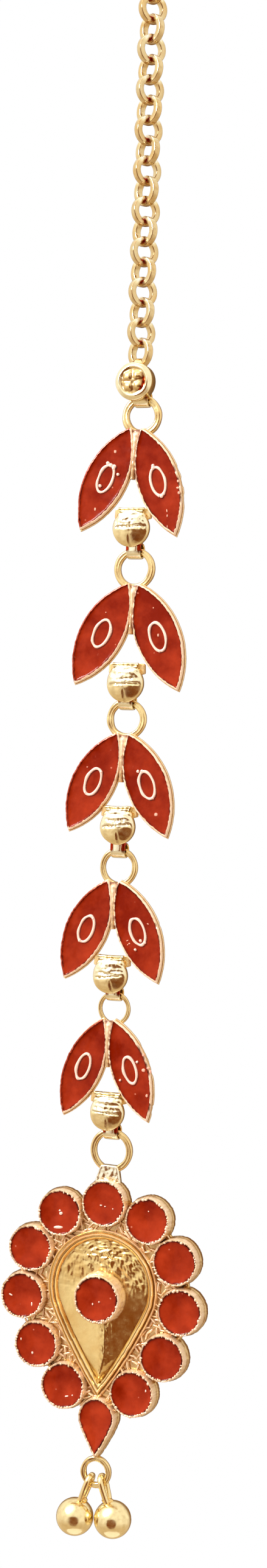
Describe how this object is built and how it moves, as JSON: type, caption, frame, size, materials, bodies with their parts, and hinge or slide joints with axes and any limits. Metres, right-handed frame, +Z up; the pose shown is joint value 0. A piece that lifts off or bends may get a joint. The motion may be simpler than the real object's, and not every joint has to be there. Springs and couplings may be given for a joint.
{
  "type": "maang tikka",
  "caption": "Gold-coloured head jewel: a hook and fine chain carry a strand of red enamelled leaf-pair links and a flower-shaped enamelled pendant with small balls.",
  "frame": {"origin": "inside of the hair hook's crown, where the piece hangs", "axes": "+Z up along the hanging strand, the enamelled front faces -Y, X runs across"},
  "size_m": [0.0195, 0.0052, 0.1508],
  "materials": {
    "gold_metal": "gold-plated, polished, with worn and cast texture",
    "chain_metal": "gold-plated, polished",
    "red_enamel": "glossy opaque enamel"
  },
  "bodies": {
    "strand": {"chain": "chain_metal", "connector": "gold_metal", "hair_hook": "gold_metal", "leaf_enamel_1_left": "red_enamel", "leaf_enamel_1_right": "red_enamel", "leaf_enamel_2_left": "red_enamel", "leaf_enamel_2_right": "red_enamel", "leaf_enamel_3_left": "red_enamel", "leaf_enamel_3_right": "red_enamel", "leaf_enamel_4_left": "red_enamel", "leaf_enamel_4_right": "red_enamel", "leaf_enamel_5_left": "red_enamel", "leaf_enamel_5_right": "red_enamel", "leaf_link_1": "gold_metal", "leaf_link_2": "gold_metal", "leaf_link_3": "gold_metal", "leaf_link_4": "gold_metal", "leaf_link_5": "gold_metal", "oval_enamel_1_left": "red_enamel", "oval_enamel_1_right": "red_enamel", "oval_enamel_2_left": "red_enamel", "oval_enamel_2_right": "red_enamel", "oval_enamel_3_left": "red_enamel", "oval_enamel_3_right": "red_enamel", "oval_enamel_4_left": "red_enamel", "oval_enamel_4_right": "red_enamel", "oval_enamel_5_left": "red_enamel", "oval_enamel_5_right": "red_enamel"},
    "drop": {"ball_left": "gold_metal", "ball_right": "gold_metal", "pendant": "gold_metal", "stone_centre": "red_enamel", "stone_drop": "red_enamel", "stone_left_1": "red_enamel", "stone_left_2": "red_enamel", "stone_left_3": "red_enamel", "stone_left_4": "red_enamel", "stone_left_5": "red_enamel", "stone_right_1": "red_enamel", "stone_right_2": "red_enamel", "stone_right_3": "red_enamel", "stone_right_4": "red_enamel", "stone_right_5": "red_enamel", "stone_top": "red_enamel"}
  },
  "joints": [
    {"name": "pendant_swing", "type": "hinge", "parent": "strand", "child": "drop", "pos_m": [0, 0, -0.11335], "axis": [1, 0, 0], "range_deg": [-90, 90]}
  ]
}
